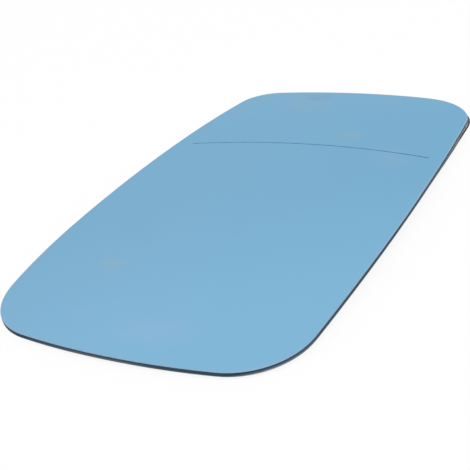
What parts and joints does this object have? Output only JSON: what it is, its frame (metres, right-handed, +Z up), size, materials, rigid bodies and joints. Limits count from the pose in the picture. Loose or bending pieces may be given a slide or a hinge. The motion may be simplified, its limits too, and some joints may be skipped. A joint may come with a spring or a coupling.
{
  "type": "door mirror glass",
  "caption": "Bowed blue mirror glass for a car's door mirror, rounded corners, ground edge, scribed dividing line near the outer end, stick-on pad behind.",
  "frame": {"origin": "on the table under the middle of the glass, which lies face up on the rim of its hollow back", "axes": "+X along the glass towards its outer end, past the dividing line; +Y towards its upper edge; +Z up, out of the reflecting face"},
  "size_m": [0.1872, 0.1094, 0.0068],
  "materials": {
    "mirror_glass": "blue reflecting coat, smooth; fine-ground grey edge",
    "adhesive_pad": "matt black closed-cell foam"
  },
  "bodies": {
    "root": {"mirror_glass": "mirror_glass", "adhesive_pad": "adhesive_pad"}
  },
  "joints": []
}
